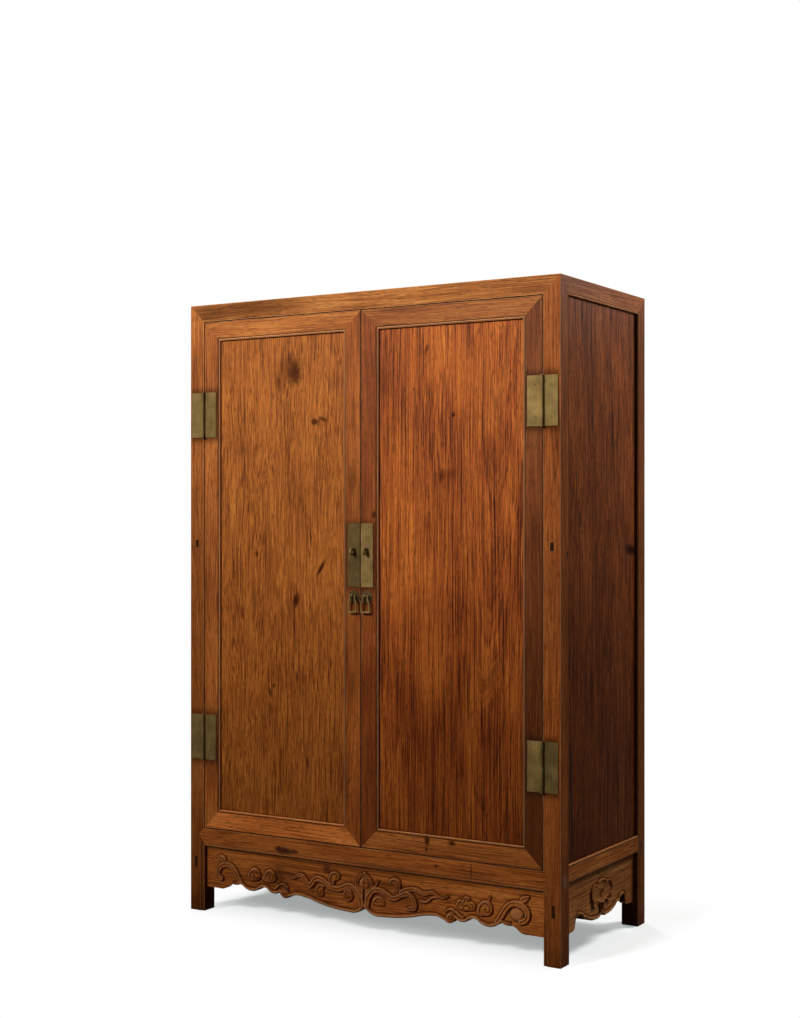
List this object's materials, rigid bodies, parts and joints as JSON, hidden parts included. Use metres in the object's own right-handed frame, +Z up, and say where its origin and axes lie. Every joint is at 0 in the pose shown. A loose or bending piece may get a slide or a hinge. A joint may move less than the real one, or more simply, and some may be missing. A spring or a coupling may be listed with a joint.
{
  "type": "square-corner cabinet",
  "caption": "Hardwood square-corner cabinet: mitred frame, floating panels, hinged doors, carved shaped aprons, brass hinges, pierced lock lugs and swinging pulls.",
  "frame": {"origin": "on the floor, under the middle of the whole object's box, front brass included", "axes": "+Z up, +X to the viewer's right as the doors are faced, +Y from the doors to the back"},
  "size_m": [1.12, 0.528, 1.65],
  "materials": {
    "frame_wood": "waxed, satin",
    "left_panel_wood": "waxed, satin",
    "right_panel_wood": "waxed, satin",
    "outer_panel_wood": "waxed, satin",
    "inner_wood": "bare, matt",
    "hinge_brass": "dull, aged",
    "dark_bronze": "dark patina"
  },
  "bodies": {
    "carcass": {"apron_back": "frame_wood", "apron_front": "frame_wood", "apron_left": "frame_wood", "apron_right": "frame_wood", "back_battens": "inner_wood", "back_panel_lower": "inner_wood", "back_panel_upper": "inner_wood", "bottom_rail_back": "frame_wood", "bottom_rail_front": "frame_wood", "bottom_rail_left": "frame_wood", "bottom_rail_right": "frame_wood", "floor_battens": "inner_wood", "floor_panel": "inner_wood", "hinge_pins": "hinge_brass", "hinge_post_leaves_left": "hinge_brass", "hinge_post_leaves_right": "hinge_brass", "post_back_left": "frame_wood", "post_back_right": "frame_wood", "post_front_left": "frame_wood", "post_front_right": "frame_wood", "shelf_battens": "inner_wood", "shelf_panel": "inner_wood", "shelf_rail_back": "inner_wood", "shelf_rail_front": "inner_wood", "shelf_rail_left": "inner_wood", "shelf_rail_right": "inner_wood", "side_battens": "inner_wood", "side_panel_left": "outer_panel_wood", "side_panel_right": "outer_panel_wood", "top_battens": "inner_wood", "top_panel": "outer_panel_wood", "top_rail_back": "frame_wood", "top_rail_front": "frame_wood", "top_rail_left": "frame_wood", "top_rail_right": "frame_wood"},
    "door_left": {"door_left_battens": "inner_wood", "door_left_bottom_rail": "frame_wood", "door_left_hinge_stile": "frame_wood", "door_left_meeting_stile": "frame_wood", "door_left_panel": "left_panel_wood", "door_left_top_rail": "frame_wood", "hinge_door_leaves_left": "hinge_brass", "lock_lug_left": "hinge_brass", "lock_plate_left": "hinge_brass", "pull_rosette_left": "dark_bronze", "pull_staple_left": "dark_bronze"},
    "door_right": {"door_right_battens": "inner_wood", "door_right_bottom_rail": "frame_wood", "door_right_hinge_stile": "frame_wood", "door_right_meeting_stile": "frame_wood", "door_right_panel": "right_panel_wood", "door_right_top_rail": "frame_wood", "hinge_door_leaves_right": "hinge_brass", "lock_lug_right": "hinge_brass", "lock_plate_right": "hinge_brass", "pull_rosette_right": "dark_bronze", "pull_staple_right": "dark_bronze"},
    "pull_left": {"pull_drop_left": "dark_bronze"},
    "pull_right": {"pull_drop_right": "dark_bronze"}
  },
  "joints": [
    {"name": "door_left_swing", "type": "hinge", "parent": "carcass", "child": "door_left", "pos_m": [-0.51275, -0.249, 0.9], "axis": [0, 0, -1], "range_deg": [0, 170]},
    {"name": "door_right_swing", "type": "hinge", "parent": "carcass", "child": "door_right", "pos_m": [0.51275, -0.249, 0.9], "axis": [0, 0, 1], "range_deg": [0, 170]},
    {"name": "pull_left_swing", "type": "hinge", "parent": "door_left", "child": "pull_left", "pos_m": [-0.025, -0.253, 0.872], "axis": [-1, 0, 0], "range_deg": [0, 110]},
    {"name": "pull_right_swing", "type": "hinge", "parent": "door_right", "child": "pull_right", "pos_m": [0.014, -0.253, 0.872], "axis": [-1, 0, 0], "range_deg": [0, 110]}
  ]
}
